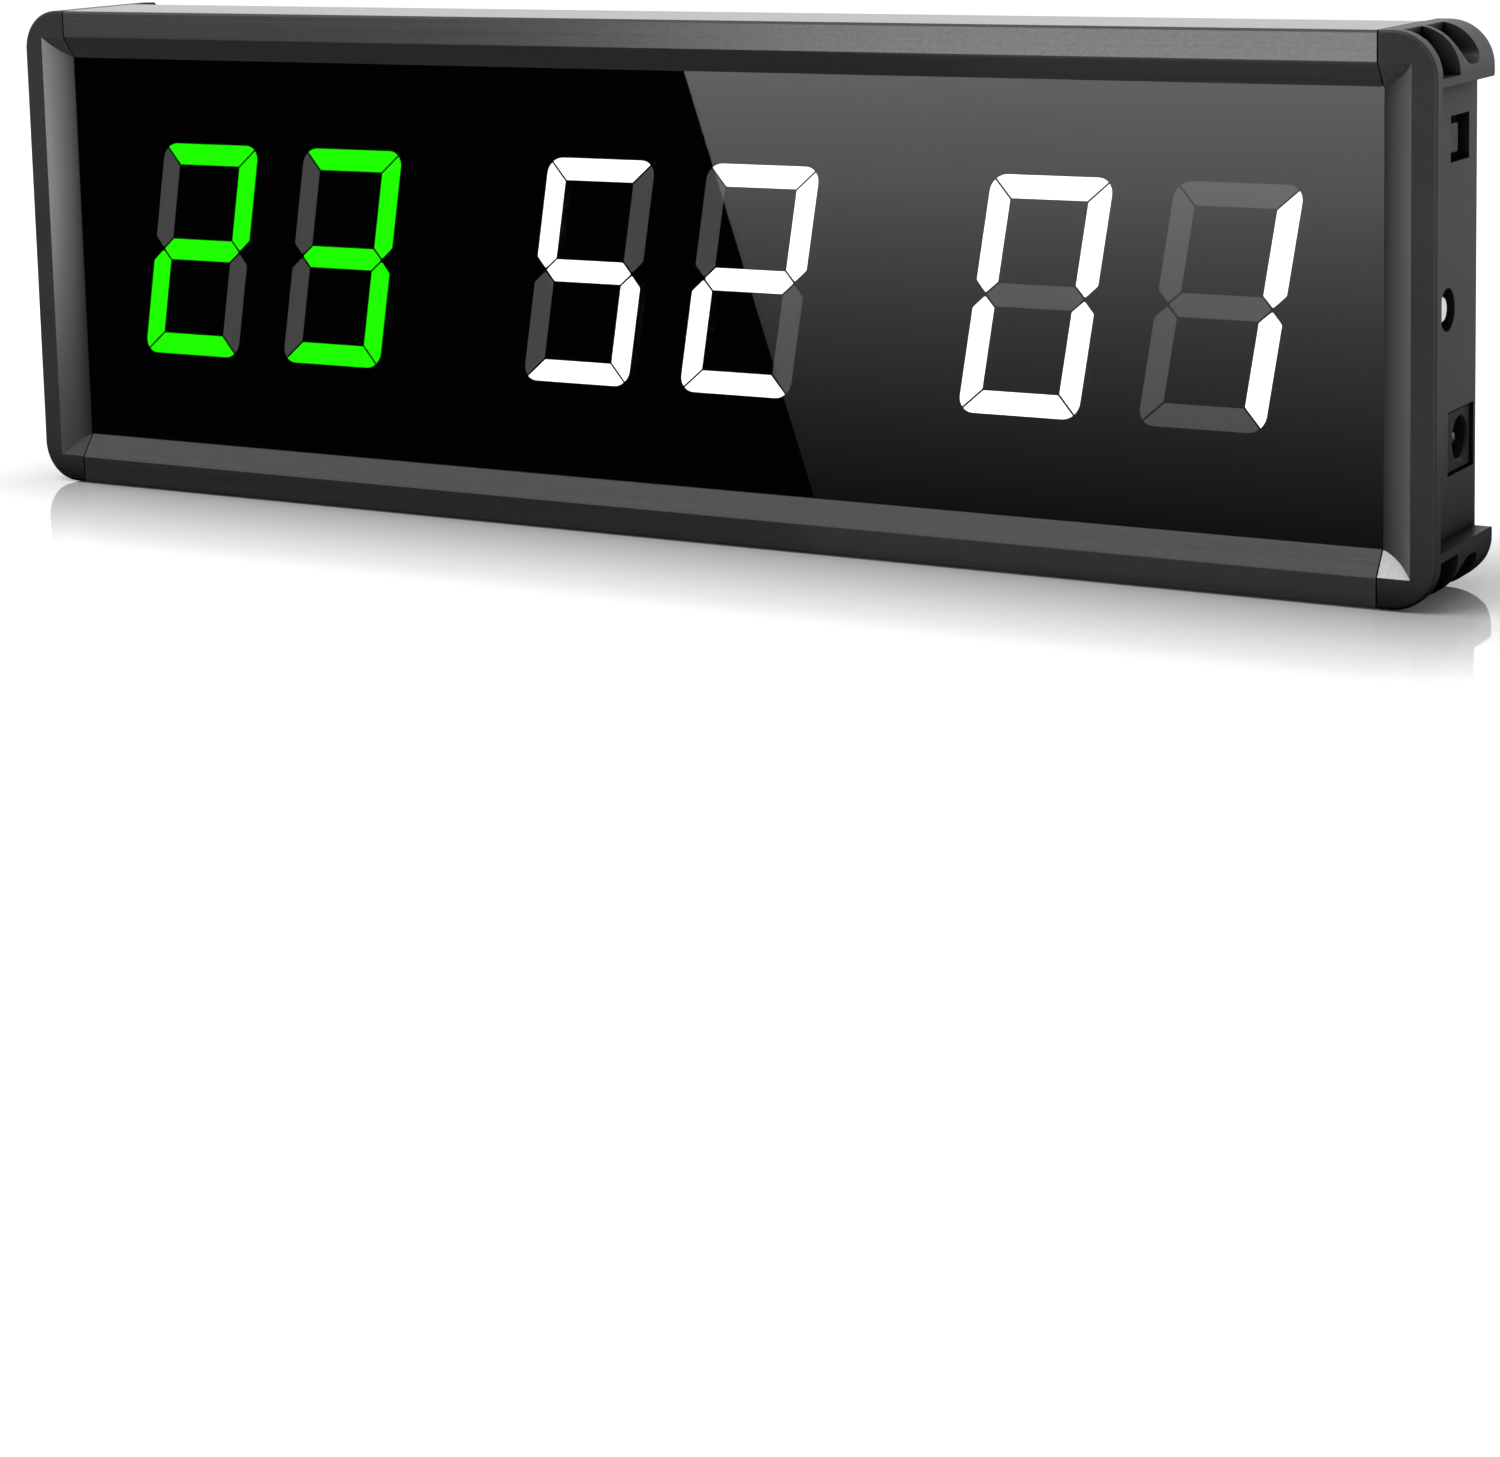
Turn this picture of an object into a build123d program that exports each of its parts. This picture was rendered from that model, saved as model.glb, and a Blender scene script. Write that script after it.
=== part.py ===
from build123d import *
import math
import os

# Wall / desk interval timer: a slim LED display unit for a gym.
# Millimetres.  +X to the right as the display is read, -Y towards the reader, +Z up.
# Origin: middle of the footprint, on the surface the unit stands on.
# Most features are placed by (x, d, z): d is the depth behind the front face,
# z the height above the middle of the unit.

# ---------------------------------------------------------------- driving sizes
W = 266.0            # overall width over both end caps
H = 86.0             # overall height
D = 26.6             # overall depth
R_CORNER = 7.0       # outer corner radius of the end caps
X_SEAM = 123.9       # where rail meets end cap
SEAM_GAP = 0.24      # shadow gap between rail and cap, split over both
X_BEVEL = 129.1      # outer edge of the inner bevel on the caps
Z_BEVEL = 38.2       # outer edge of the inner bevel on the rails
Z_GLASS = 34.5       # visible half height of the lens
D_BEVEL = 2.7        # depth of the bevel
COVE = 0.4           # hollow of the caps' bevel, at its middle
SKIN = 1.5           # wall of the rail extrusion
R_REAR = 7.0         # radius of the rounded rear edge of the rails

LENS_T = 1.8
LENS_D = 3.0         # depth of the lens front face
LENS_X = 126.1       # half width of the lens
LENS_Z = 36.7        # half height of the lens

FLANGE_T = 2.3       # front flange of the end caps
WALL_X = 130.0       # outer face of the recessed side wall
WALL_T = 2.0
EAR_Z = 34.5         # inner face of the corner ears
EAR_R = 1.5          # rounding of the ears' inner rear edge
POCKET_X = 127.0     # floor of the ear pockets

PANEL_T = 1.3
PANEL_Z = 34.4
PANEL_X = 127.85

PCB_D = 12.6         # front face of the main board
PCB_T = 1.6
PCB_Z = 40.0

MOD_W = 61.0         # two-digit LED module
MOD_H = 48.0
MOD_D = 4.95         # front face of the modules
MODULE_X = (-82.4, -0.5, 81.9)
DIGIT_PITCH = 30.95
DIGIT_Z = 0.35       # middle of the characters above the middle of the unit
DIGIT_H = 38.1       # 1.5 inch character
DIGIT_W = 20.8
STROKE = 3.7
SEG_GAP = 0.35
SLANT = 9.9
DIGIT_R = 2.7
SEG_DEPTH = 2.6

# right-hand side: power switch, push button, power socket
SW_WIN = (14.6, 23.0, 22.3, 29.3)        # d0, d1, z0, z1 of the switch window
SW_TRAVEL = 4.0
BTN_D, BTN_Z, BTN_HOLE_R = 13.5, 0.4, 3.3
BTN_R = 1.9
BTN_TRAVEL = 0.3
JACK_WIN = (13.9, 25.7, -25.1, -15.3)
JACK_D, JACK_Z = 20.7, -20.25
JACK_BORE_R = 3.2
JACK_PIN_R = 1.0

KEYHOLE_X = 75.0
KEYHOLE_Z = 14.0
KEYHOLE_R = 4.0
KEYHOLE_SLOT_R = 2.1
KEYHOLE_RISE = 8.0

os.makedirs("parts", exist_ok=True)


# ---------------------------------------------------------------- helpers
def Y(d):
    return d - D / 2


def Z(z):
    return z + H / 2


def blk(x0, x1, d0, d1, z0, z1):
    return Pos((x0 + x1) / 2, (Y(d0) + Y(d1)) / 2, (Z(z0) + Z(z1)) / 2) * Box(
        abs(x1 - x0), abs(d1 - d0), abs(z1 - z0))


def cyl_x(x0, x1, d, z, r):
    return Pos((x0 + x1) / 2, Y(d), Z(z)) * Rot(0, 90, 0) * Cylinder(r, abs(x1 - x0))


def cyl_y(d0, d1, x, z, r):
    return Pos(x, (Y(d0) + Y(d1)) / 2, Z(z)) * Rot(90, 0, 0) * Cylinder(r, abs(d1 - d0))


def cone_y(d0, d1, x, z, r0, r1):
    # r0 at depth d0, r1 at depth d1
    return Pos(x, (Y(d0) + Y(d1)) / 2, Z(z)) * Rot(90, 0, 0) * Cone(r1, r0, abs(d1 - d0))


def along_x(face, x0, x1):
    # face drawn as (d, z), pulled along X
    pl = Plane(origin=(x0, -D / 2, H / 2), x_dir=(0, 1, 0), z_dir=(1, 0, 0))
    return extrude(pl * face, amount=x1 - x0)


def along_y(face, d0, d1):
    # face drawn as (x, z), pulled along +Y
    pl = Plane(origin=(0, Y(d0), H / 2), x_dir=(1, 0, 0), z_dir=(0, -1, 0))
    return extrude(pl * face, amount=-(d1 - d0))


def along_z(face, z0, z1):
    # face drawn as (x, d), pulled along Z
    pl = Plane(origin=(0, -D / 2, Z(z0)), x_dir=(1, 0, 0), z_dir=(0, 0, 1))
    return extrude(pl * face, amount=z1 - z0)


def poly(*pts):
    return make_face(Polyline(*pts, close=True))


def mirror_z(s):
    return s.mirror(Plane(origin=(0, 0, H / 2), z_dir=(0, 0, 1)))


def mirror_x(s):
    return s.mirror(Plane.YZ)


def cross_y(d0, d1, x, z, size, width):
    # cross recess of a screw seen along Y
    return blk(x - size / 2, x + size / 2, d0, d1, z - width / 2, z + width / 2) + blk(
        x - width / 2, x + width / 2, d0, d1, z - size / 2, z + size / 2)


def cross_x(x0, x1, d, z, size, width):
    return blk(x0, x1, d - size / 2, d + size / 2, z - width / 2, z + width / 2) + blk(
        x0, x1, d - width / 2, d + width / 2, z - size / 2, z + size / 2)


PARTS = {}


def keep(name, *solids):
    flat = []
    for s in solids:
        flat.extend(s.solids() if hasattr(s, "solids") else [s])
    PARTS[name] = flat


# ---------------------------------------------------------------- rails (extrusions)
PORT_D, PORT_Z, PORT_R = 7.4, 38.7, 1.3          # screw port for the cap screws


def rail_section():
    cz = H / 2 - R_REAR
    s = math.sqrt(0.5)
    outline = (
        Polyline((D_BEVEL, Z_GLASS), (0.15, Z_BEVEL - 0.2), (0.0, Z_BEVEL + 0.15), (0.0, H / 2 - 0.45))
        + ThreePointArc((0.0, H / 2 - 0.45), (0.13, H / 2 - 0.13), (0.45, H / 2))
        + Line((0.45, H / 2), (D - R_REAR, H / 2))
        + ThreePointArc((D - R_REAR, H / 2), (D - R_REAR + R_REAR * s, cz + R_REAR * s), (D, cz))
        + Polyline((D, cz), (D, PANEL_Z + 0.1), (D - PANEL_T, PANEL_Z + 0.1), (D - PANEL_T, 29.7), (D - PANEL_T - 1.4, 29.7),
                   (D - PANEL_T - 1.4, Z_GLASS), (D_BEVEL, Z_GLASS))
    )
    full = make_face(outline)
    r_in = R_REAR - SKIN
    # inner channel, back of the lens rib to the rear flange
    d_f = D - PANEL_T - 1.4
    zi = cz + math.sqrt(r_in ** 2 - (d_f - (D - R_REAR)) ** 2)
    a0 = math.asin((zi - cz) / r_in)
    am = (a0 + math.pi / 2) / 2
    chan = make_face(
        Polyline((d_f, zi), (d_f, 29.0), (6.1, 29.0), (6.1, H / 2 - SKIN), (D - R_REAR, H / 2 - SKIN))
        + ThreePointArc((D - R_REAR, H / 2 - SKIN),
                        (D - R_REAR + r_in * math.cos(am), cz + r_in * math.sin(am)), (d_f, zi)))
    f = full - chan
    # lens groove
    f -= poly((2.95, Z_GLASS - 1), (2.95, LENS_Z + 0.2), (4.9, LENS_Z + 0.2), (4.9, Z_GLASS - 1))
    # trim the rib behind the lens a little shorter than the visible edge
    f -= poly((4.9, Z_GLASS - 1), (4.9, Z_GLASS + 1.0), (6.3, Z_GLASS + 1.0), (6.3, Z_GLASS - 1))
    # board groove between two ribs
    f += poly((11.3, PCB_Z - 1.4), (11.3, H / 2 - 1), (12.5, H / 2 - 1), (12.5, PCB_Z - 1.4))
    f += poly((14.3, PCB_Z - 1.4), (14.3, H / 2 - 1), (15.5, H / 2 - 1), (15.5, PCB_Z - 1.4))
    f += poly((12.4, PCB_Z + 0.2), (12.4, H / 2 - 1), (14.4, H / 2 - 1), (14.4, PCB_Z + 0.2))
    # screw port
    f += Pos(PORT_D, PORT_Z) * Circle(2.75)
    f -= Pos(PORT_D, PORT_Z) * Circle(PORT_R)
    return f


xe = X_SEAM - SEAM_GAP / 2
top_rail = along_x(rail_section(), -xe, xe)
BACK_SCREW_X = (-105.0, 0.0, 105.0)
BACK_SCREW_Z = 31.9
for sx in BACK_SCREW_X:
    top_rail -= cyl_y(D - PANEL_T - 3, D, sx, BACK_SCREW_Z, 1.05)
bottom_rail = mirror_z(top_rail)
keep("top_rail", top_rail)
keep("bottom_rail", bottom_rail)


# ---------------------------------------------------------------- end caps (mouldings)
def cap_right():
    out = RectangleRounded(W, H, R_CORNER)
    x0 = X_SEAM + SEAM_GAP / 2
    half = Pos((x0 + 140) / 2, 0) * Rectangle(140 - x0, 100)
    shape = out & half
    body = along_y(shape, 0, D)
    # soften the front and rear outline
    front = [e for e in body.edges() if abs(e.center().Y - Y(0)) < 1e-3 and e.center().X > x0 + 0.5]
    body = fillet(front, 0.5)
    rear = [e for e in body.edges() if abs(e.center().Y - Y(D)) < 1e-3 and e.center().X > x0 + 0.5]
    body = fillet(rear, 1.0)
    # top and bottom roll over at the rear as the rails do
    q, t = H / 2 - R_REAR, R_REAR * (1 - math.sqrt(0.5))
    roll = make_face(
        Line((-1, H / 2), (D - R_REAR, H / 2)) + ThreePointArc((D - R_REAR, H / 2), (D - t, H / 2 - t), (D, q)) + Line((D, q), (D, -q))
        + ThreePointArc((D, -q), (D - t, -H / 2 + t), (D - R_REAR, -H / 2)) + Polyline((D - R_REAR, -H / 2), (-1, -H / 2), (-1, H / 2)))
    body = body & along_x(roll, x0 - 1, W / 2 + 1)
    # recessed side wall between the ears
    body -= blk(WALL_X, W / 2 + 5, FLANGE_T, D + 5, -EAR_Z, EAR_Z)
    for s in (1, -1):
        body -= blk(WALL_X, W / 2 + 5, D - EAR_R, D + 5, s * (EAR_Z - 0.5), s * (EAR_Z + EAR_R)) - cyl_x(
            WALL_X - 1, W / 2 + 6, D - EAR_R, s * (EAR_Z + EAR_R), EAR_R)
    # inside
    body -= blk(x0 - 1, WALL_X - WALL_T, 4.9, D + 1, -(PANEL_Z + 0.05), PANEL_Z + 0.05)
    # bevel of the picture frame
    run, chord = X_BEVEL - X_SEAM, math.hypot(X_BEVEL - X_SEAM, D_BEVEL)
    low = ((X_SEAM + X_BEVEL) / 2 + COVE * D_BEVEL / chord, D_BEVEL / 2 + COVE * run / chord)
    side = along_z(make_face(ThreePointArc((X_SEAM, D_BEVEL), low, (X_BEVEL, 0.0))
                             + Polyline((X_BEVEL, 0.0), (X_BEVEL + 0.25, -0.25), (X_BEVEL + 0.25, -1.0), (X_SEAM - 8, -1.0),
                                        (X_SEAM - 8, D_BEVEL), (X_SEAM, D_BEVEL))), -60, 60)
    kz = (Z_BEVEL - Z_GLASS) / D_BEVEL
    tall = along_x(poly((-1.0, Z_BEVEL + kz), (D_BEVEL, Z_GLASS), (D_BEVEL, -Z_GLASS), (-1.0, -Z_BEVEL - kz)), x0 - 2, W / 2 + 5)
    body -= side & tall
    # seat of the lens
    body -= blk(x0 - 1, LENS_X + 0.1, 2.95, 4.9, -LENS_Z - 0.2, LENS_Z + 0.2)
    # ear pockets, upper and lower
    for s in (1, -1):
        p1 = along_x(poly((2.5, s * 35.8), (10.2, s * 35.8), (10.2, s * 50), (2.5, s * 50)), POCKET_X, 140)
        body -= p1
        # second pocket: rounded lower end, larger radius on the front side
        r1, r2, z0, d0, d1 = 4.2, 2.2, 37.0, 11.6, 19.8
        c = math.sqrt(0.5)
        w2 = (Line((d0, s * 50), (d0, s * (z0 + r1)))
              + ThreePointArc((d0, s * (z0 + r1)), (d0 + r1 - r1 * c, s * (z0 + r1 - r1 * c)), (d0 + r1, s * z0))
              + Line((d0 + r1, s * z0), (d1 - r2, s * z0))
              + ThreePointArc((d1 - r2, s * z0), (d1 - r2 + r2 * c, s * (z0 + r2 - r2 * c)), (d1, s * (z0 + r2)))
              + Polyline((d1, s * (z0 + r2)), (d1, s * 50), (d0, s * 50)))
        body -= along_x(make_face(w2), POCKET_X, 140)
        # clearance hole of the cap screw
        body -= cyl_x(x0 - 1, POCKET_X + 0.5, PORT_D, s * PORT_Z, 1.6)
    return body


cap = cap_right()
left_cap = mirror_x(cap)
right_cap = cap
right_cap -= blk(WALL_X - WALL_T - 0.5, WALL_X + 0.5, SW_WIN[0], SW_WIN[1], SW_WIN[2], SW_WIN[3])
right_cap -= cyl_x(WALL_X - WALL_T - 0.5, WALL_X + 0.5, BTN_D, BTN_Z, BTN_HOLE_R)
right_cap -= blk(WALL_X - WALL_T - 0.5, WALL_X + 0.5, JACK_WIN[0], JACK_WIN[1], JACK_WIN[2], JACK_WIN[3])
keep("right_end_cap", right_cap)
keep("left_end_cap", left_cap)

# cap screws, cross-recessed pan heads at the bottom of the front ear pockets
def cap_screw(sz):
    s = cyl_x(POCKET_X, POCKET_X + 1.9, PORT_D, sz * PORT_Z, 2.6)
    rim = [e for e in s.edges() if abs(e.center().X - POCKET_X - 1.9) < 1e-3]
    s = fillet(rim, 0.7)
    s += cyl_x(POCKET_X - 10.0, POCKET_X + 0.5, PORT_D, sz * PORT_Z, 1.25)
    s -= cross_x(POCKET_X + 0.8, POCKET_X + 3, PORT_D, sz * PORT_Z, 2.6, 0.6)
    return s


rs = [cap_screw(1), cap_screw(-1)]
keep("right_cap_screws", *rs)
keep("left_cap_screws", *[mirror_x(s) for s in rs])

# ---------------------------------------------------------------- lens
lens = blk(-LENS_X, LENS_X, LENS_D, LENS_D + LENS_T, -LENS_Z, LENS_Z)
keep("front_lens", lens)

# ---------------------------------------------------------------- rear panel
panel = blk(-PANEL_X, PANEL_X, D - PANEL_T, D, -PANEL_Z, PANEL_Z)
for kx in (-KEYHOLE_X, KEYHOLE_X):
    panel -= cyl_y(D - 3, D + 1, kx, KEYHOLE_Z, KEYHOLE_R)
    panel -= blk(kx - KEYHOLE_SLOT_R, kx + KEYHOLE_SLOT_R, D - 3, D + 1, KEYHOLE_Z, KEYHOLE_Z + KEYHOLE_RISE)
    panel -= cyl_y(D - 3, D + 1, kx, KEYHOLE_Z + KEYHOLE_RISE, KEYHOLE_SLOT_R)
BUZ_X, BUZ_Z = -40.0, -10.0
for i in range(7):
    a = math.radians(60 * i)
    rr = 0 if i == 6 else 4.0
    panel -= cyl_y(D - 3, D + 1, BUZ_X + rr * math.cos(a), BUZ_Z + rr * math.sin(a), 0.9)
screws = []
for sx in BACK_SCREW_X:
    for sz in (-BACK_SCREW_Z, BACK_SCREW_Z):
        panel -= cone_y(D - PANEL_T, D, sx, sz, 1.15, 2.4) + cyl_y(D - 3, D, sx, sz, 1.15)
        s = cone_y(D - PANEL_T + 0.1, D - 0.08, sx, sz, 1.13, 2.3) + cyl_y(D - 6.3, D - 0.5, sx, sz, 1.0)
        s -= cross_y(D - 0.95, D + 1, sx, sz, 2.2, 0.55)
        screws.append(s)
# the panel's edges clear the screws' countersinks
keep("rear_panel", panel)
keep("rear_panel_screws", *screws)

# ---------------------------------------------------------------- LED digits
TS = math.tan(math.radians(SLANT))


def slant(pts):
    return [(x + z * TS, z) for x, z in pts]


def segment_points():
    w, h, t, r = DIGIT_W / 2, DIGIT_H / 2, STROKE, DIGIT_R
    g = SEG_GAP / 2 * math.sqrt(2)
    hm = t / 2
    off = math.asin(g / (r * math.sqrt(2)))
    n = 6

    def arc(a0, a1):
        return [(w - r + r * math.cos(a0 + (a1 - a0) * i / n), h - r + r * math.sin(a0 + (a1 - a0) * i / n)) for i in range(n + 1)]
    q = math.pi / 4
    top_right = arc(math.pi / 2, q + off)
    a = [(-x, z) for x, z in reversed(top_right)] + top_right + [(w - t - g, h - t), (-(w - t - g), h - t)]
    b = arc(q - off, 0.0) + [(w, hm + g + 0.15), (w - 0.35, hm + g - 0.25), (w - t / 2 + 0.2, g + 0.25), (w - t / 2, g + 0.12),
                             (w - t / 2 - 0.2, g + 0.25), (w - t, hm + g), (w - t, h - t - g)]
    m = w - t / 2 - g
    gg = [(-m + 0.12, 0.12), (-(m - hm) , hm), (m - hm, hm), (m - 0.12, 0.12), (m - 0.12, -0.12), (m - hm, -hm), (-(m - hm), -hm), (-m + 0.12, -0.12)]
    c = [(x, -z) for x, z in b]
    e = [(-x, -z) for x, z in b]
    f = [(-x, z) for x, z in b]
    d = [(-x, -z) for x, z in a]
    return {"a": a, "b": b, "c": c, "d": d, "e": e, "f": f, "g": gg}


SEG = {k: slant(v) for k, v in segment_points().items()}
GLYPH = {"0": "abcdef", "1": "bc", "2": "abged", "3": "abgcd", "5": "afgcd"}
READOUT = ("23", "52", "01")
NAMES = ("left", "middle", "right")
for name, mx, text in zip(NAMES, MODULE_X, READOUT):
    housing = blk(mx - MOD_W / 2, mx + MOD_W / 2, MOD_D, PCB_D, DIGIT_Z - MOD_H / 2, DIGIT_Z + MOD_H / 2)
    lit, dark = [], []
    for ch, dx in zip(text, (-DIGIT_PITCH / 2, DIGIT_PITCH / 2)):
        for k, pts in SEG.items():
            face = poly(*[(mx + dx + x, DIGIT_Z + z) for x, z in pts])
            housing -= along_y(face, MOD_D - 1, MOD_D + SEG_DEPTH)
            (lit if k in GLYPH[ch] else dark).append(along_y(face, MOD_D - 0.05, MOD_D + SEG_DEPTH))
    # the back of the module is a shallow tray potted with resin; its feet rest on the board
    keep(name + "_digit_module", housing)
    keep(name + "_segments_lit", *lit)
    keep(name + "_segments_dark", *dark)

# ---------------------------------------------------------------- boards
board = along_y(poly((-123.4, -PCB_Z), (118.8, -PCB_Z), (118.8, -31.0), (127.6, -31.0), (127.6, -11.5), (118.8, -11.5),
                     (118.8, PCB_Z), (-123.4, PCB_Z)), PCB_D, PCB_D + PCB_T)
keep("main_board", board)
SB_X0, SB_X1 = 119.3, 120.9
side_board = blk(SB_X0, SB_X1, 5.3, 24.9, -7.5, 29.4)
keep("switch_board", side_board)
BACK = PCB_D + PCB_T
keep("switch_board_header", blk(116.7, SB_X0, BACK, BACK + 2.5, 4.0, 16.7))

# ---------------------------------------------------------------- power socket
jx1 = 129.5
jack = blk(jx1 - 14.4, jx1, BACK, BACK + 11.0, JACK_Z - 4.5, JACK_Z + 4.5)
jack -= blk(jx1 - 15, jx1 - 3.6, BACK + 9.4, BACK + 12, JACK_Z - 5, JACK_Z + 5)
jack -= cyl_x(jx1 - 9.6, jx1 + 1, JACK_D, JACK_Z, JACK_BORE_R)
mouth = [e for e in jack.edges() if e.geom_type == GeomType.CIRCLE and abs(e.center().X - jx1) < 1e-3]
jack = chamfer(mouth, 0.35)
jack -= cyl_x(jx1 - 12.0, jx1 - 9.0, JACK_D, JACK_Z, JACK_PIN_R)
# slot for the sprung side contact
jack -= blk(jx1 - 8.6, jx1 - 2.4, JACK_D - 1.0, JACK_D + 1.0, JACK_Z - 4.1, JACK_Z - 2.5)
keep("power_socket_body", jack)
pin = cyl_x(jx1 - 12.0, jx1 - 0.9, JACK_D, JACK_Z, JACK_PIN_R)
tip = [e for e in pin.edges() if abs(e.center().X - (jx1 - 0.9)) < 1e-3]
pin = fillet(tip, 0.6)
keep("power_socket_pin", pin)
leaf = blk(jx1 - 8.4, jx1 - 2.6, JACK_D - 0.9, JACK_D + 0.9, JACK_Z - 3.55, JACK_Z - 3.2)
keep("power_socket_contact", leaf)

# ---------------------------------------------------------------- power slide switch
sd0, sd1, sz0, sz1 = 12.5, 25.1, 22.5, 29.1
sx0, sx1 = SB_X1, 126.5
frame = blk(sx0 + 0.6, sx1, sd0, sd1, sz0, sz1)
frame -= blk(sx0, sx1 - 0.4, sd0 + 0.4, sd1 - 0.4, sz0 + 0.4, sz1 - 0.4)
frame -= blk(sx1 - 1, sx1 + 1, SW_WIN[0] - 0.1, SW_WIN[1] + 0.1, 23.35, 28.25)
keep("slide_switch_frame", frame)
base = blk(sx0, sx0 + 0.6, sd0, sd1, sz0, sz1) + blk(sx0 + 0.6, sx0 + 2.3, sd0 + 0.42, sd1 - 0.42, sz0 + 0.42, sz1 - 0.42)
keep("slide_switch_base", base)
kd0, kd1 = SW_WIN[0] + 0.1, SW_WIN[1] - 0.1 - SW_TRAVEL
knob = blk(sx1 - 1.5, WALL_X - 0.3, kd0, kd1, 23.55, 28.05)
corner = [e for e in knob.edges() if abs(e.center().X - (WALL_X - 0.3)) < 1e-3]
knob = fillet(corner, 0.4)
knob += blk(sx1 - 2.9, sx1 - 0.45, kd0 - 1.6, kd1 + 1.2, 23.2, 28.4)
keep("slide_switch_knob", knob)

# ---------------------------------------------------------------- push button
tx0 = SB_X1
tb = blk(tx0, tx0 + 3.2, BTN_D - 3, BTN_D + 3, BTN_Z - 3, BTN_Z + 3)
tb -= cyl_x(tx0 + 1.2, tx0 + 3.3, BTN_D, BTN_Z, 2.5)
keep("button_base", tb)
tc = blk(tx0 + 3.2, tx0 + 3.5, BTN_D - 3, BTN_D + 3, BTN_Z - 3, BTN_Z + 3)
tc -= cyl_x(tx0 + 3.0, tx0 + 4.0, BTN_D, BTN_Z, BTN_R + 0.1)
keep("button_cover_plate", tc)
bx1 = WALL_X - 0.7
pl = cyl_x(tx0 + 3.1, bx1, BTN_D, BTN_Z, BTN_R)
pl = fillet([e for e in pl.edges() if abs(e.center().X - bx1) < 1e-3], 0.25)
pl += cyl_x(tx0 + 2.35, tx0 + 3.15, BTN_D, BTN_Z, 2.35)
keep("button_plunger", pl)
dome_pts = ((tx0 + 1.22, 2.3), (tx0 + 1.37, 2.3), (tx0 + 1.85, 1.1), (tx0 + 2.0, 0.0), (tx0 + 1.85, 0.0), (tx0 + 1.7, 1.05), (tx0 + 1.22, 2.2))
dface = poly(*dome_pts)
dome = Pos(0, Y(BTN_D), Z(BTN_Z)) * revolve(dface, Axis.X, 360)
keep("button_dome", dome)

# ---------------------------------------------------------------- parts on the main board
ir = blk(-43.2, -36.8, PCB_D - 4.2, PCB_D, -24.0, -15.5)
ir += (Pos(-40.0, Y(PCB_D - 4.2), Z(-19.0)) * Sphere(2.4)) & blk(-45, -35, PCB_D - 7, PCB_D - 3.9, -30, -10)
keep("ir_receiver", ir)
buz = cyl_y(BACK, BACK + 9.0, BUZ_X, BUZ_Z, 6.0)
buz -= cyl_y(BACK + 7.5, BACK + 10, BUZ_X, BUZ_Z, 1.0)
keep("buzzer", buz)
keep("controller_chip", blk(-5, 5, BACK, BACK + 1.4, -5, 5))
keep("led_driver_chips",
     blk(-78.9, -61.1, BACK, BACK + 2.3, -7.5, 0.0),
     blk(18.1, 35.9, BACK, BACK + 2.3, -7.5, 0.0),
     blk(61.1, 78.9, BACK, BACK + 2.3, -7.5, 0.0))
keep("clock_chip", blk(-17.5, -12.6, BACK, BACK + 1.5, 12.0, 15.9))
keep("clock_crystal", cyl_x(-26.0, -20.0, BACK + 1.1, 14.0, 1.1))
holder = cyl_y(BACK, BACK + 4.4, 6.0, -22.0, 11.6) + blk(-6.5, 18.5, BACK, BACK + 1.2, -25.0, -19.0)
holder -= cyl_y(BACK + 1.0, BACK + 5.0, 6.0, -22.0, 10.15)
keep("coin_cell_holder", holder)
keep("coin_cell", cyl_y(BACK + 1.1, BACK + 4.3, 6.0, -22.0, 10.0))
keep("voltage_regulator", blk(88.0, 94.5, BACK, BACK + 2.4, -25.0, -18.9))
ind = blk(96.0, 103.0, BACK, BACK + 4.0, -26.0, -19.0)
ind = chamfer(ind.edges().filter_by(Axis.Y), 1.2)
keep("power_inductor", ind)
caps = []
for cx, cz in ((83.0, -33.0), (104.0, -12.0)):
    c = cyl_y(BACK, BACK + 8.0, cx, cz, 4.0)
    caps.append(c)
keep("electrolytic_capacitors", *caps)

# ---------------------------------------------------------------- write the parts
for name, solids in PARTS.items():
    shape = solids[0] if len(solids) == 1 else Compound(children=list(solids))
    shape.label = name
    export_step(shape, os.path.join("parts", name + ".step"))
print(len(PARTS), "parts")
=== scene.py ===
import bpy
from mathutils import Matrix, Vector

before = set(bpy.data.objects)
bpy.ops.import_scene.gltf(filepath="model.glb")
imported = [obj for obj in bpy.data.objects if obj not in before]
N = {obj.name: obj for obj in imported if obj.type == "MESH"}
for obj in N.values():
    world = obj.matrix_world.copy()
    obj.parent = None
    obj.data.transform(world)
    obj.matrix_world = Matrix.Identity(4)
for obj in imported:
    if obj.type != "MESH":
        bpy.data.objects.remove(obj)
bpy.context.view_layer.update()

H = 0.086
D = 0.0266


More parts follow.
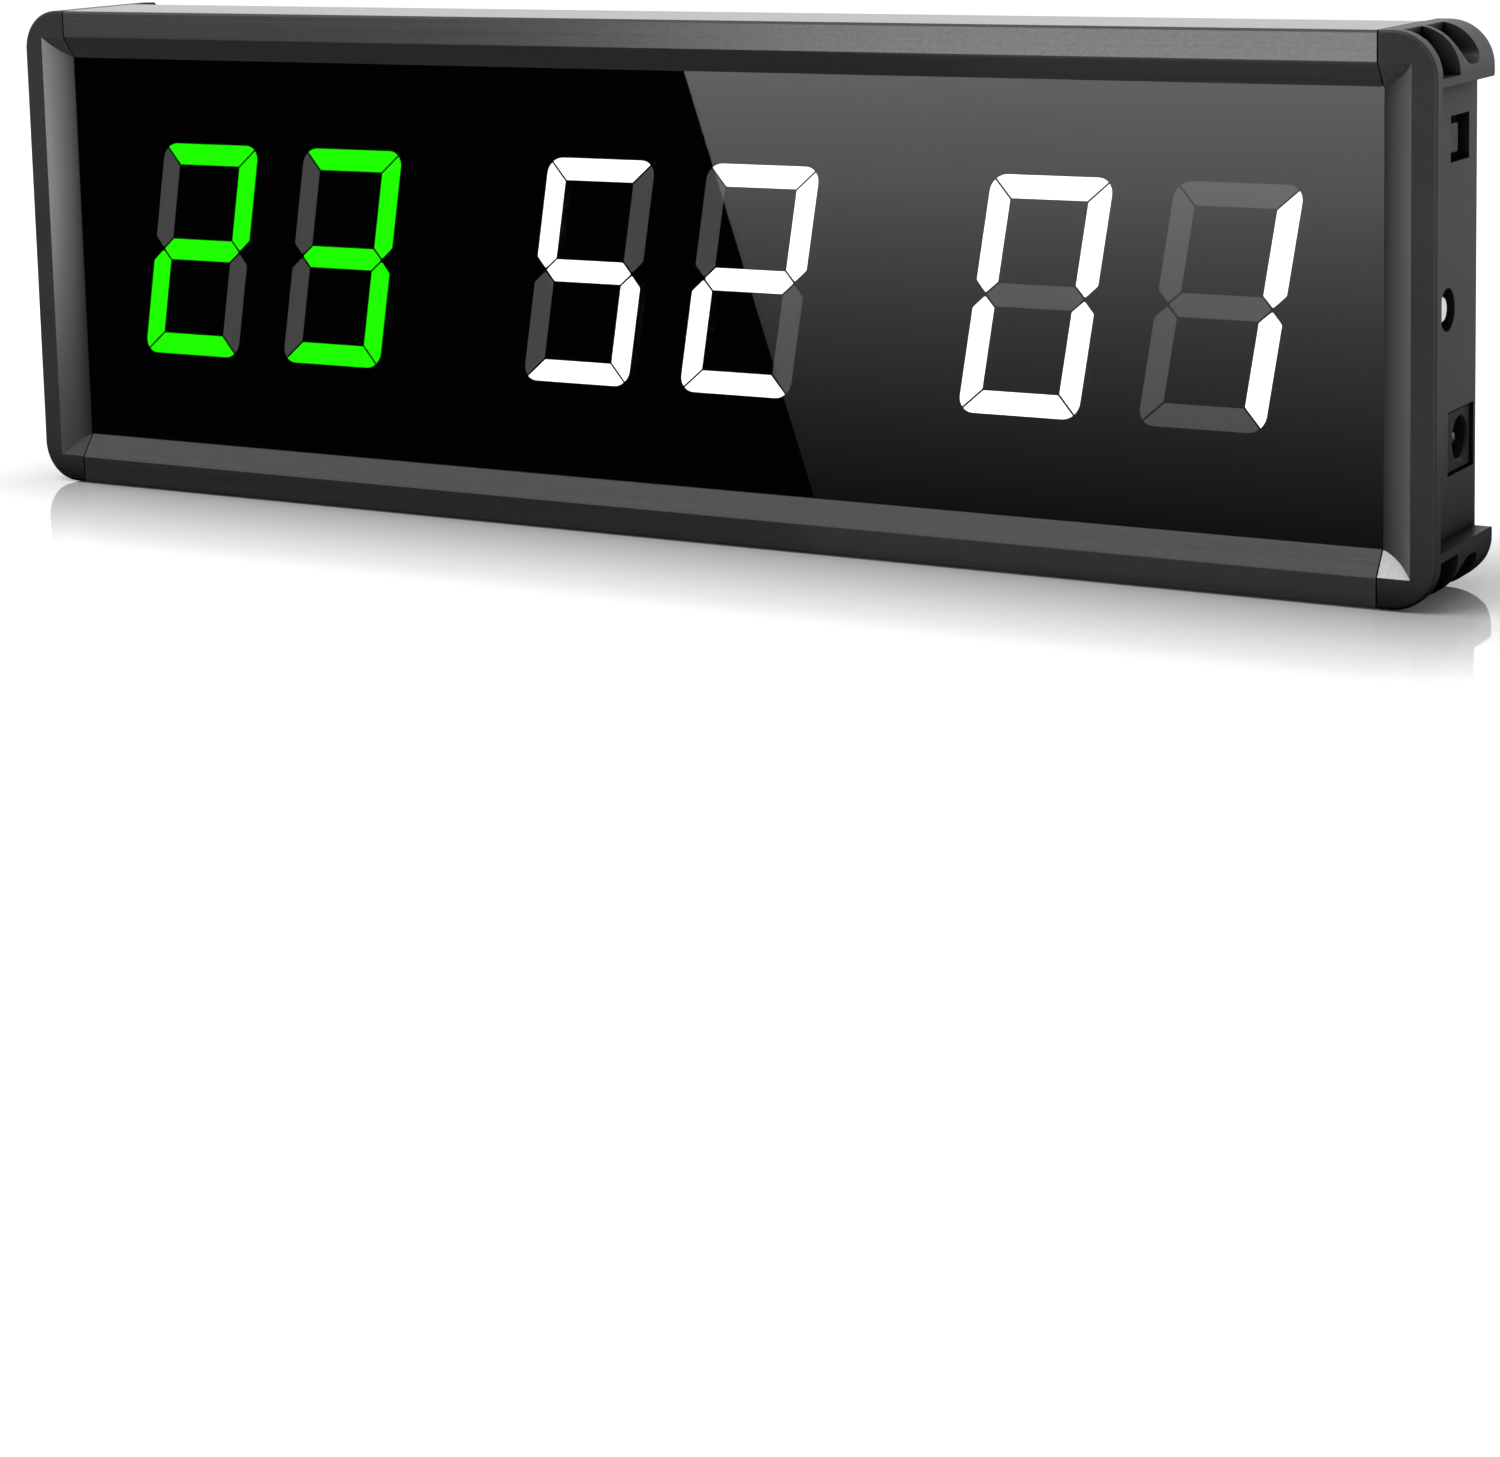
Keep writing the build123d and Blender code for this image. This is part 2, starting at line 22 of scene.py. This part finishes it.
# ------------------------------------------------------------------ node helpers
class Mat:
    """A procedural material with a few short-hands for its nodes."""

    def __init__(self, name):
        self.m = bpy.data.materials.new(name)
        self.m.use_nodes = True
        self.nt = self.m.node_tree
        self.nt.nodes.clear()
        self.out = self.node("ShaderNodeOutputMaterial")
        self.bsdf = self.node("ShaderNodeBsdfPrincipled")
        self.link(self.bsdf.outputs[0], self.out.inputs[0])
        self.co = self.node("ShaderNodeTexCoord").outputs["Object"]

    def node(self, kind, **props):
        n = self.nt.nodes.new(kind)
        for k, v in props.items():
            setattr(n, k, v)
        return n

    def link(self, a, b):
        self.nt.links.new(a, b)

    def set(self, **values):
        for k, v in values.items():
            self.bsdf.inputs[k.replace("_", " ")].default_value = v
        return self

    def mapped(self, scale=(1, 1, 1), rot=(0, 0, 0), loc=(0, 0, 0)):
        n = self.node("ShaderNodeMapping")
        n.inputs["Scale"].default_value = scale
        n.inputs["Rotation"].default_value = rot
        n.inputs["Location"].default_value = loc
        self.link(self.co, n.inputs["Vector"])
        return n.outputs[0]

    def noise(self, scale, detail=3.0, rough=0.5, vec=None):
        n = self.node("ShaderNodeTexNoise")
        n.inputs["Scale"].default_value = scale
        n.inputs["Detail"].default_value = detail
        n.inputs["Roughness"].default_value = rough
        self.link(vec or self.co, n.inputs["Vector"])
        return n.outputs["Fac"]

    def voronoi(self, scale, vec=None, feature="F1"):
        n = self.node("ShaderNodeTexVoronoi", feature=feature)
        n.inputs["Scale"].default_value = scale
        self.link(vec or self.co, n.inputs["Vector"])
        return n.outputs["Distance"]

    def ramp(self, fac, stops, interpolation="LINEAR"):
        n = self.node("ShaderNodeValToRGB")
        n.color_ramp.interpolation = interpolation
        els = n.color_ramp.elements
        while len(els) < len(stops):
            els.new(0.5)
        for el, (p, c) in zip(els, stops):
            el.position = p
            el.color = (*c, 1.0) if len(c) == 3 else c
        self.link(fac, n.inputs["Fac"])
        return n.outputs["Color"]

    def mix(self, fac, a, b, mode="MIX"):
        n = self.node("ShaderNodeMix", data_type="RGBA", blend_type=mode)
        for sock, v in ((n.inputs[0], fac), (n.inputs[6], a), (n.inputs[7], b)):
            if isinstance(v, (int, float)):
                sock.default_value = v
            elif isinstance(v, tuple):
                sock.default_value = (*v, 1.0) if len(v) == 3 else v
            else:
                self.link(v, sock)
        return n.outputs[2]

    def math(self, op, a, b=None, c=None, clamp=False):
        n = self.node("ShaderNodeMath", operation=op, use_clamp=clamp)
        for sock, v in zip(n.inputs, (a, b, c)):
            if v is None:
                continue
            if isinstance(v, (int, float)):
                sock.default_value = v
            else:
                self.link(v, sock)
        return n.outputs[0]

    def remap(self, v, a, b, c, d):
        n = self.node("ShaderNodeMapRange")
        self.link(v, n.inputs["Value"])
        for k, x in (("From Min", a), ("From Max", b), ("To Min", c), ("To Max", d)):
            n.inputs[k].default_value = x
        return n.outputs[0]

    def bump(self, height, distance, strength=1.0, normal=None):
        n = self.node("ShaderNodeBump")
        n.inputs["Distance"].default_value = distance
        n.inputs["Strength"].default_value = strength
        self.link(height, n.inputs["Height"])
        if normal is not None:
            self.link(normal, n.inputs["Normal"])
        return n.outputs[0]

    def to(self, socket, value):
        self.link(value, self.bsdf.inputs[socket])
        return self


def put(material, *nodes):
    for name in nodes:
        o = N[name]
        o.data.materials.clear()
        o.data.materials.append(material)


# ------------------------------------------------------------------ materials
def anodised():
    """Dark anodised extrusion, with die lines along X."""
    m = Mat("rail_anodised")
    lines = m.noise(1.0, 3.0, 0.6, m.mapped((3.0, 2600.0, 2600.0)))
    broad = m.noise(1.0, 2.0, 0.5, m.mapped((6.0, 240.0, 240.0)))
    grain = m.noise(2600.0, 2.0, 0.5)
    f = m.math("ADD", m.math("MULTIPLY", lines, 0.7), m.math("MULTIPLY", broad, 0.3))
    col = m.ramp(f, [(0.3, (0.116, 0.116, 0.118)), (0.7, (0.152, 0.152, 0.154))])
    m.to("Base Color", m.mix(m.remap(grain, 0.35, 0.65, 0.0, 0.25), col, (0.20, 0.20, 0.202)))
    m.to("Roughness", m.remap(f, 0.3, 0.7, 0.20, 0.27))
    m.set(Metallic=0.87, Specular_IOR_Level=0.35)
    h = m.bump(lines, 0.000012, 0.5)
    m.to("Normal", m.bump(grain, 0.000008, 0.5, h))
    return m.m


def cap_plastic(name="cap_texture", gloss=0.2, rough=(0.36, 0.48), grain=1.0, painted_shade_tone=1.0, painted_rim_gradient=False):
    """Fine spark-textured ABS moulding; the bevels are left smoother than the flats."""
    m = Mat(name)
    fine = m.noise(2300.0, 3.0, 0.6)
    cells = m.voronoi(1700.0)
    broad = m.noise(60.0, 2.0, 0.5)
    col = m.ramp(broad, [(0.3, (0.026, 0.026, 0.027)), (0.7, (0.034, 0.034, 0.035))])
    col = m.mix(m.remap(fine, 0.4, 0.7, 0.0, 0.3), col, (0.045, 0.045, 0.046))
    # painted shade: an AO mask blends the colour to near-black and cuts the gloss in pockets and recesses
    ao = m.node("ShaderNodeAmbientOcclusion", samples=8)
    ao.inputs["Distance"].default_value = 0.007
    painted_light_mask = m.remap(ao.outputs["AO"], 0.45, 0.92, 0.03, 1.0)
    # a darker copy of the moulding for some faces: painted shade
    if painted_shade_tone != 1.0:
        col = m.mix(1.0, col, (painted_shade_tone, painted_shade_tone, painted_shade_tone), "MULTIPLY")
    if painted_rim_gradient:
        # the hollow of the side bevels: a painted highlight, colour and gloss rising from dark next to the lens to
        # bright at the rim
        sep = m.node("ShaderNodeSeparateXYZ")
        m.link(m.co, sep.inputs[0])
        painted_rim_highlight = m.remap(m.math("ABSOLUTE", sep.outputs["X"]), 0.1240, 0.1290, 0.0, 1.0)
        col = m.mix(painted_rim_highlight, (0.016, 0.016, 0.0165), (0.085, 0.085, 0.086))
        painted_light_mask = m.math("ADD", 0.2, m.math("MULTIPLY", painted_rim_highlight, 0.8))
    m.to("Base Color", col if painted_rim_gradient else m.mix(painted_light_mask, (0.001, 0.001, 0.001), col))
    m.to("Specular IOR Level", m.math("MULTIPLY", painted_light_mask, gloss))
    m.to("Roughness", m.remap(fine, 0.3, 0.7, *rough))
    h = m.bump(cells, 0.00002, 0.35 * grain)
    m.to("Normal", m.bump(fine, 0.00003, 0.5 * grain, h))
    return m.m


def smoked():
    """Smoked acrylic: gloss skin over a dark, see-through body."""
    m = Mat("lens_smoked")
    wipe = m.noise(9.0, 3.0, 0.6)
    m.set(IOR=1.49, Specular_IOR_Level=0.5)
    m.bsdf.inputs["Transmission Weight"].default_value = 1.0
    m.to("Base Color", m.ramp(wipe, [(0.3, (0.095, 0.095, 0.096)), (0.7, (0.105, 0.105, 0.106))]))
    m.to("Roughness", m.remap(wipe, 0.3, 0.7, 0.004, 0.012))
    return m.m


def powder():
    m = Mat("panel_powder")
    peel = m.noise(620.0, 3.0, 0.55)
    fine = m.noise(3000.0, 2.0, 0.5)
    m.to("Base Color", m.ramp(fine, [(0.3, (0.018, 0.018, 0.019)), (0.7, (0.03, 0.03, 0.031))]))
    m.to("Roughness", m.remap(peel, 0.3, 0.7, 0.42, 0.6))
    m.to("Normal", m.bump(fine, 0.00002, 0.35, m.bump(peel, 0.00009, 0.4)))
    return m.m


def zinc(name="screw_zinc", col=(0.03, 0.03, 0.032)):
    m = Mat(name)
    n = m.noise(900.0, 3.0, 0.5)
    m.to("Base Color", m.ramp(n, [(0.35, col), (0.7, tuple(c * 1.9 for c in col))]))
    m.to("Roughness", m.remap(n, 0.3, 0.7, 0.28, 0.42))
    m.set(Metallic=0.9)
    m.to("Normal", m.bump(n, 0.00001, 0.5))
    return m.m


def moulded(name, col, rough=(0.4, 0.55), scale=1500.0, spread=0.25, metallic=0.0, bump=0.00002):
    m = Mat(name)
    n = m.noise(scale, 3.0, 0.55)
    b = m.noise(scale / 22.0, 2.0, 0.5)
    lo = tuple(c * (1 - spread) for c in col)
    hi = tuple(min(1.0, c * (1 + spread)) for c in col)
    base = m.ramp(b, [(0.3, lo), (0.7, hi)])
    m.to("Base Color", m.mix(m.remap(n, 0.4, 0.7, 0.0, 0.2), base, tuple(min(1.0, c * 1.5 + 0.004) for c in col)))
    m.to("Roughness", m.remap(n, 0.3, 0.7, *rough))
    m.set(Metallic=metallic)
    m.to("Normal", m.bump(n, bump, 0.4))
    return m.m


def diffuser(name, col, strength):
    """Milky resin of a lit segment: even glow, with a soft grain of the diffusant."""
    m = Mat(name)
    n = m.noise(1400.0, 3.0, 0.6)
    soft = m.noise(170.0, 2.0, 0.5)
    m.set(Base_Color=(*[c * 0.5 for c in col], 1), Roughness=0.4)
    m.to("Emission Color", m.mix(m.remap(n, 0.35, 0.7, 0.0, 0.1), col, tuple(c * 0.9 for c in col)))
    m.to("Emission Strength", m.remap(soft, 0.3, 0.7, strength * 0.97, strength * 1.03))
    m.to("Normal", m.bump(n, 0.00001, 0.3))
    return m.m


def unlit():
    m = Mat("segment_unlit_painted_glow")
    n = m.noise(1400.0, 3.0, 0.6)
    soft = m.noise(160.0, 2.0, 0.5)
    col = m.ramp(soft, [(0.3, (0.58, 0.58, 0.59)), (0.7, (0.66, 0.66, 0.66))])
    m.to("Base Color", m.mix(m.remap(n, 0.4, 0.7, 0.0, 0.15), col, (0.75, 0.75, 0.75)))
    m.to("Roughness", m.remap(n, 0.3, 0.7, 0.35, 0.5))
    # painted glow: the switched-off segments emit white light at 0.60 so they read pale behind the smoked lens
    m.bsdf.inputs["Emission Color"].default_value = (1, 1, 1, 1)
    m.set(Emission_Strength=0.60)
    m.to("Normal", m.bump(n, 0.00001, 0.3))
    return m.m


def solder_mask():
    """Black board with a faint glass weave and copper areas under the mask."""
    m = Mat("board_mask")
    v = m.mapped((1, 1, 1))
    w1 = m.node("ShaderNodeTexWave", wave_type="BANDS", bands_direction="X")
    w1.inputs["Scale"].default_value = 420.0
    w2 = m.node("ShaderNodeTexWave", wave_type="BANDS", bands_direction="Z")
    w2.inputs["Scale"].default_value = 420.0
    m.link(v, w1.inputs["Vector"])
    m.link(v, w2.inputs["Vector"])
    weave = m.math("MULTIPLY", w1.outputs["Fac"], w2.outputs["Fac"])
    vor = m.node("ShaderNodeTexVoronoi", distance="CHEBYCHEV")
    vor.inputs["Scale"].default_value = 150.0
    m.link(v, vor.inputs["Vector"])
    pour = m.math("GREATER_THAN", vor.outputs["Distance"], 0.34)
    col = m.mix(pour, (0.006, 0.007, 0.0065), (0.010, 0.012, 0.011))
    m.to("Base Color", m.mix(m.remap(weave, 0.2, 0.9, 0.0, 0.2), col, (0.016, 0.018, 0.017)))
    m.set(Roughness=0.3)
    m.to("Normal", m.bump(weave, 0.00001, 0.4, m.bump(pour, 0.00003, 0.6)))
    return m.m


RAIL = anodised()
CAP = cap_plastic()
CAP_BEVEL = cap_plastic("cap_bevel", 0.9, (0.16, 0.24), 0.3)
# side-bevel copy of the cap moulding, carrying the painted rim highlight
CAP_SLOPE = cap_plastic("cap_slope", 0.9, (0.16, 0.24), 0.3, painted_rim_gradient=True)
# front flats: duller, rougher and grainier, and darkened by the 0.85 tone as painted shade
CAP_FACE = cap_plastic("cap_face", 0.06, (0.5, 0.6), 1.8, 0.85)
LENS = smoked()
POWDER = powder()
SCREW = zinc()
STEEL = zinc("plated_steel", (0.42, 0.42, 0.41))
# toned far darker than bare nickel: painted shade for the pin deep in the socket's dark mouth
NICKEL = zinc("nickel", (0.12, 0.115, 0.105))
FACE = moulded("module_face", (0.002, 0.002, 0.0021), (0.7, 0.85))
FACE.node_tree.nodes["Principled BSDF"].inputs["Specular IOR Level"].default_value = 0.04
GREEN = diffuser("segment_green_lit", (0.0137, 1.0, 0.0), 11.0)
WHITE = diffuser("segment_white_lit", (1.0, 1.0, 1.0), 16.0)
UNLIT = unlit()
BOARD = solder_mask()
CHIP = moulded("chip_epoxy", (0.018, 0.018, 0.018), (0.5, 0.65), 2600.0)
NYLON = moulded("socket_nylon", (0.006, 0.006, 0.0062), (0.45, 0.56), 1200.0)
NYLON.node_tree.nodes["Principled BSDF"].inputs["Specular IOR Level"].default_value = 0.22
KNOB = moulded("knob_abs", (0.016, 0.016, 0.0165), (0.5, 0.62), 2000.0)
PLUNGER = moulded("plunger_white", (0.86, 0.86, 0.84), (0.3, 0.42), 1500.0, 0.03)
SLEEVE = moulded("capacitor_sleeve", (0.012, 0.016, 0.06), (0.25, 0.35), 900.0)

put(RAIL, "top_rail", "bottom_rail")
put(CAP, "left_end_cap", "right_end_cap")
for cap_name in ("left_end_cap", "right_end_cap"):
    mesh = N[cap_name].data
    for extra in (CAP_BEVEL, CAP_SLOPE, CAP_FACE):
        mesh.materials.append(extra)
    # bevel faces take the smoother bevel copies (the side bevels with the painted rim highlight); front flats take the
    # copy with the painted shade tone
    turn = N[cap_name].matrix_world
    for face in mesh.polygons:
        c = turn @ face.center
        n = turn.to_3x3() @ face.normal
        inside = abs(c.x) < 0.12915 and abs(c.z - H / 2) < 0.0383
        if inside and c.y < -D / 2 + 0.0028 and -0.995 < n.y < -0.3:
            face.material_index = 2 if abs(n.x) > 0.1 else 1
        elif n.y < -0.99 and c.y < -D / 2 + 0.00005:
            face.material_index = 3
put(LENS, "front_lens")
put(POWDER, "rear_panel")
put(SCREW, "left_cap_screws", "right_cap_screws", "rear_panel_screws")
put(FACE, "left_digit_module", "middle_digit_module", "right_digit_module")
put(GREEN, "left_segments_lit")
put(WHITE, "middle_segments_lit", "right_segments_lit")
put(UNLIT, "left_segments_dark", "middle_segments_dark", "right_segments_dark")
put(BOARD, "main_board", "switch_board")
put(CHIP, "controller_chip", "led_driver_chips", "clock_chip", "voltage_regulator", "ir_receiver")
put(NYLON, "power_socket_body", "switch_board_header", "slide_switch_base", "button_base", "buzzer", "coin_cell_holder", "power_inductor")
put(NICKEL, "power_socket_pin", "power_socket_contact", "button_dome")
put(STEEL, "slide_switch_frame", "button_cover_plate", "clock_crystal", "coin_cell")
put(KNOB, "slide_switch_knob")
put(PLUNGER, "button_plunger")
put(SLEEVE, "electrolytic_capacitors")


# ------------------------------------------------------------------ stage, light, camera
# camera: position and rotation from the view of the unit's front and right end
F, CX, CY, WPX, HPX = 3583.25, 750.0, 300.0, 1500.0, 1457.0
ROT = ((0.865766418126567, 0.49994112956056325, -0.022525013163207222),
       (0.05106609148469786, -0.13302860214779189, -0.9897957593923512),
       (-0.4978360809993296, 0.8557816649030947, -0.1407017358489808))
CPOS = (305.92999259587936, -495.68259406238735, 79.40193360132766)


def plain(name, col, rough):
    m = Mat(name)
    n = m.noise(3.0, 2.0, 0.5)
    m.to("Base Color", m.ramp(n, [(0.3, tuple(c * 0.99 for c in col)), (0.7, col)]))
    m.set(Roughness=rough)
    return m


def flat(name, pts, material):
    """A flat staged card."""
    mesh = bpy.data.meshes.new(name)
    mesh.from_pydata([tuple(q) for q in pts], [], [tuple(range(len(pts)))])
    o = bpy.data.objects.new(name, mesh)
    bpy.context.scene.collection.objects.link(o)
    o.data.materials.append(material)
    return o


def mirror_only(o):
    """Seen in gloss reflections, and in those inside the lens, and by nothing else."""
    o.visible_camera = False
    o.visible_diffuse = False
    o.visible_shadow = False
    o.visible_volume_scatter = False


def glow(name, strength):
    m = Mat(name)
    m.set(Base_Color=(0, 0, 0, 1), Roughness=1.0, Specular_IOR_Level=0.0)
    m.bsdf.inputs["Emission Color"].default_value = (1, 1, 1, 1)
    if isinstance(strength, (int, float)):
        m.set(Emission_Strength=strength)
    else:
        # strength by distance in front of the unit: (from, to, near value, far value)
        sep = m.node("ShaderNodeSeparateXYZ")
        m.link(m.co, sep.inputs[0])
        m.to("Emission Strength", m.ramp(m.remap(sep.outputs["Y"], -strength[0], -strength[1], 0.0, 1.0), strength[2]))
    return m.m


def pale_floor():
    """White acrylic sheet: its mirror image of the unit fades within a few centimetres, and its colour and glow darken
    towards the unit's footprint as a painted contact shadow.
    """
    m = plain("floor_pale", (0.86, 0.86, 0.86), 0.045)
    sep = m.node("ShaderNodeSeparateXYZ")
    m.link(m.co, sep.inputs[0])
    # distance from the unit's footprint
    dx = m.math("MAXIMUM", m.math("SUBTRACT", m.math("ABSOLUTE", sep.outputs["X"]), 0.131), 0.0)
    dy = m.math("MAXIMUM", m.math("SUBTRACT", m.math("ABSOLUTE", sep.outputs["Y"]), 0.0125), 0.0)
    dist = m.math("SQRT", m.math("ADD", m.math("MULTIPLY", dx, dx), m.math("MULTIPLY", dy, dy)))
    away = m.remap(dist, 0.0, 0.06, 0.0, 1.0)
    cloud = m.noise(3.0, 2.0, 0.5)
    # painted contact shadow: the colour darkens towards the unit's footprint
    painted_shade_tone = m.ramp(away, [(0.0, (0.48,) * 3), (0.45, (0.72,) * 3), (0.9, (0.86,) * 3)])
    m.to("Base Color", m.mix(m.remap(cloud, 0.3, 0.7, 0.0, 0.02), painted_shade_tone, (0.8, 0.8, 0.8)))
    m.bsdf.inputs["Emission Color"].default_value = (1, 1, 1, 1)
    # the glow is also dimmed near the footprint, part of the painted contact shadow
    m.to("Emission Strength", m.ramp(away, [(0.0, (0.03,) * 3), (0.45, (0.20,) * 3), (0.9, (0.5,) * 3)]))
    m.to("Specular IOR Level", m.ramp(away, [(0.0, (1.0,) * 3), (0.55, (0.7,) * 3), (1.0, (0.0,) * 3)]))
    return m.m


floor = flat("floor", ((-3, -3, -0.0002), (3, -3, -0.0002), (3, 3, -0.0002), (-3, 3, -0.0002)), pale_floor())
floor.visible_glossy = False
floor.visible_transmission = False

# what the front of the unit reflects: a dark studio floor with one large bright sheet, edge on a slant
CARD_Z = -0.001
LENS_Y = -D / 2 + 0.003


def sight(px, py):
    """Direction from the camera through a point of the frame, and the camera's place."""
    v = Vector(((px - CX) / F, (py - CY) / F, 1.0))
    d = Vector([sum(ROT[k][i] * v[k] for k in range(3)) for i in range(3)])
    return Vector((CPOS[0] / 1000, CPOS[1] / 1000 - D / 2, CPOS[2] / 1000 + H / 2)), d


def on_card(px, py):
    """Where the lens shows the card at this point of the frame."""
    c, d = sight(px, py)
    hit = c + d * ((LENS_Y - c.y) / d.y)
    r = Vector((d.x, -d.y, d.z))
    return hit + r * ((CARD_Z - hit.z) / r.z)


# white surround, seen by the camera alone
for k, (ax, ay, bx, by) in enumerate(((-3, 3, 3, 3), (-3, -3, 3, -3), (-3, -3, -3, 3), (3, -3, 3, 3))):
    wall = flat("surround_%d" % k, ((ax, ay, -0.0002), (bx, by, -0.0002), (bx, by, 4), (ax, ay, 4)), glow("surround_%d" % k, 1.0))
    wall.visible_diffuse = wall.visible_glossy = wall.visible_transmission = wall.visible_shadow = wall.visible_volume_scatter = False

edge_top, edge_bottom = on_card(683, 68), on_card(815, 500)
run = (edge_top - edge_bottom)
far = edge_bottom + run * 2.2
near = edge_bottom - run * 0.2
bright = glow("sheet_bright", (0.02, 1.4, [(0.0, (0.04,) * 3), (0.03, (0.16,) * 3), (0.07, (0.32,) * 3), (0.17, (0.85,) * 3), (0.36, (1.95,) * 3), (0.6, (2.7,) * 3), (1.0, (3.0,) * 3)]))
dark = glow("sheet_dark", 0.012)
mirror_only(flat("sheet_bright", ((near.x, near.y, CARD_Z), (far.x, far.y, CARD_Z), (6, far.y, CARD_Z), (6, near.y, CARD_Z)), bright))
mirror_only(flat("sheet_dark", ((near.x, near.y, CARD_Z), (-6, near.y, CARD_Z), (-6, far.y, CARD_Z), (far.x, far.y, CARD_Z)), dark))
mirror_only(flat("back_sheet", ((-3, 1.6, 0.0), (3, 1.6, 0.0), (3, 1.6, 1.3), (-3, 1.6, 1.3)), glow("back_bright", 1.1)))
# a brighter patch of the sheet, which the left end's bevel shows
mirror_only(flat("sheet_patch", ((0.085, -0.17, CARD_Z + 0.0004), (0.05, -0.34, CARD_Z + 0.0004), (-0.02, -0.60, CARD_Z + 0.0004), (0.75, -0.95, CARD_Z + 0.0004),
                                 (0.75, -0.17, CARD_Z + 0.0004)), glow("patch_bright", 3.4)))

world = bpy.data.worlds.new("studio")
bpy.context.scene.world = world
world.use_nodes = True
bg = world.node_tree.nodes["Background"]
bg.inputs[0].default_value = (1.0, 1.0, 1.0, 1)
bg.inputs[1].default_value = 0.53


def area(name, loc, target, size, power, size_y=None, col=(1, 1, 1)):
    light = bpy.data.lights.new(name, "AREA")
    light.shape = "RECTANGLE"
    light.size = size
    light.size_y = size_y or size
    light.energy = power
    light.color = col
    o = bpy.data.objects.new(name, light)
    bpy.context.scene.collection.objects.link(o)
    o.location = loc
    o.rotation_euler = (Vector(target) - Vector(loc)).to_track_quat("-Z", "Y").to_euler()
    return o


lamp = area("overhead", (-0.4, -0.5, 1.25), (0, 0, 0.04), 0.9, 16.0)
lamp.visible_glossy = False
# a small lamp that only the right end cap takes, for the glint on the right-hand lower mitre
glint = area("glint", (-0.27, -0.50, 1.02), (0.126, 0, 0.006), 0.34, 3.4)
caps_only = bpy.data.collections.new("caps_only")
caps_only.objects.link(N["right_end_cap"])
glint.light_linking.receiver_collection = caps_only

cam_data = bpy.data.cameras.new("camera")
cam_data.sensor_fit = "HORIZONTAL"
cam_data.sensor_width = 36.0
cam_data.lens = F / WPX * 36.0
cam_data.shift_x = 0.0
cam_data.shift_y = (CY - HPX / 2) / WPX
cam_data.clip_start = 0.01
cam = bpy.data.objects.new("camera", cam_data)
bpy.context.scene.collection.objects.link(cam)
right, down, fwd = (Vector(r) for r in ROT)
m = Matrix((right, -down, -fwd)).transposed().to_4x4()
m.translation = Vector((CPOS[0] / 1000, CPOS[1] / 1000 - D / 2, CPOS[2] / 1000 + H / 2))
cam.matrix_world = m
bpy.context.scene.camera = cam

bpy.context.scene.view_settings.view_transform = "Standard"
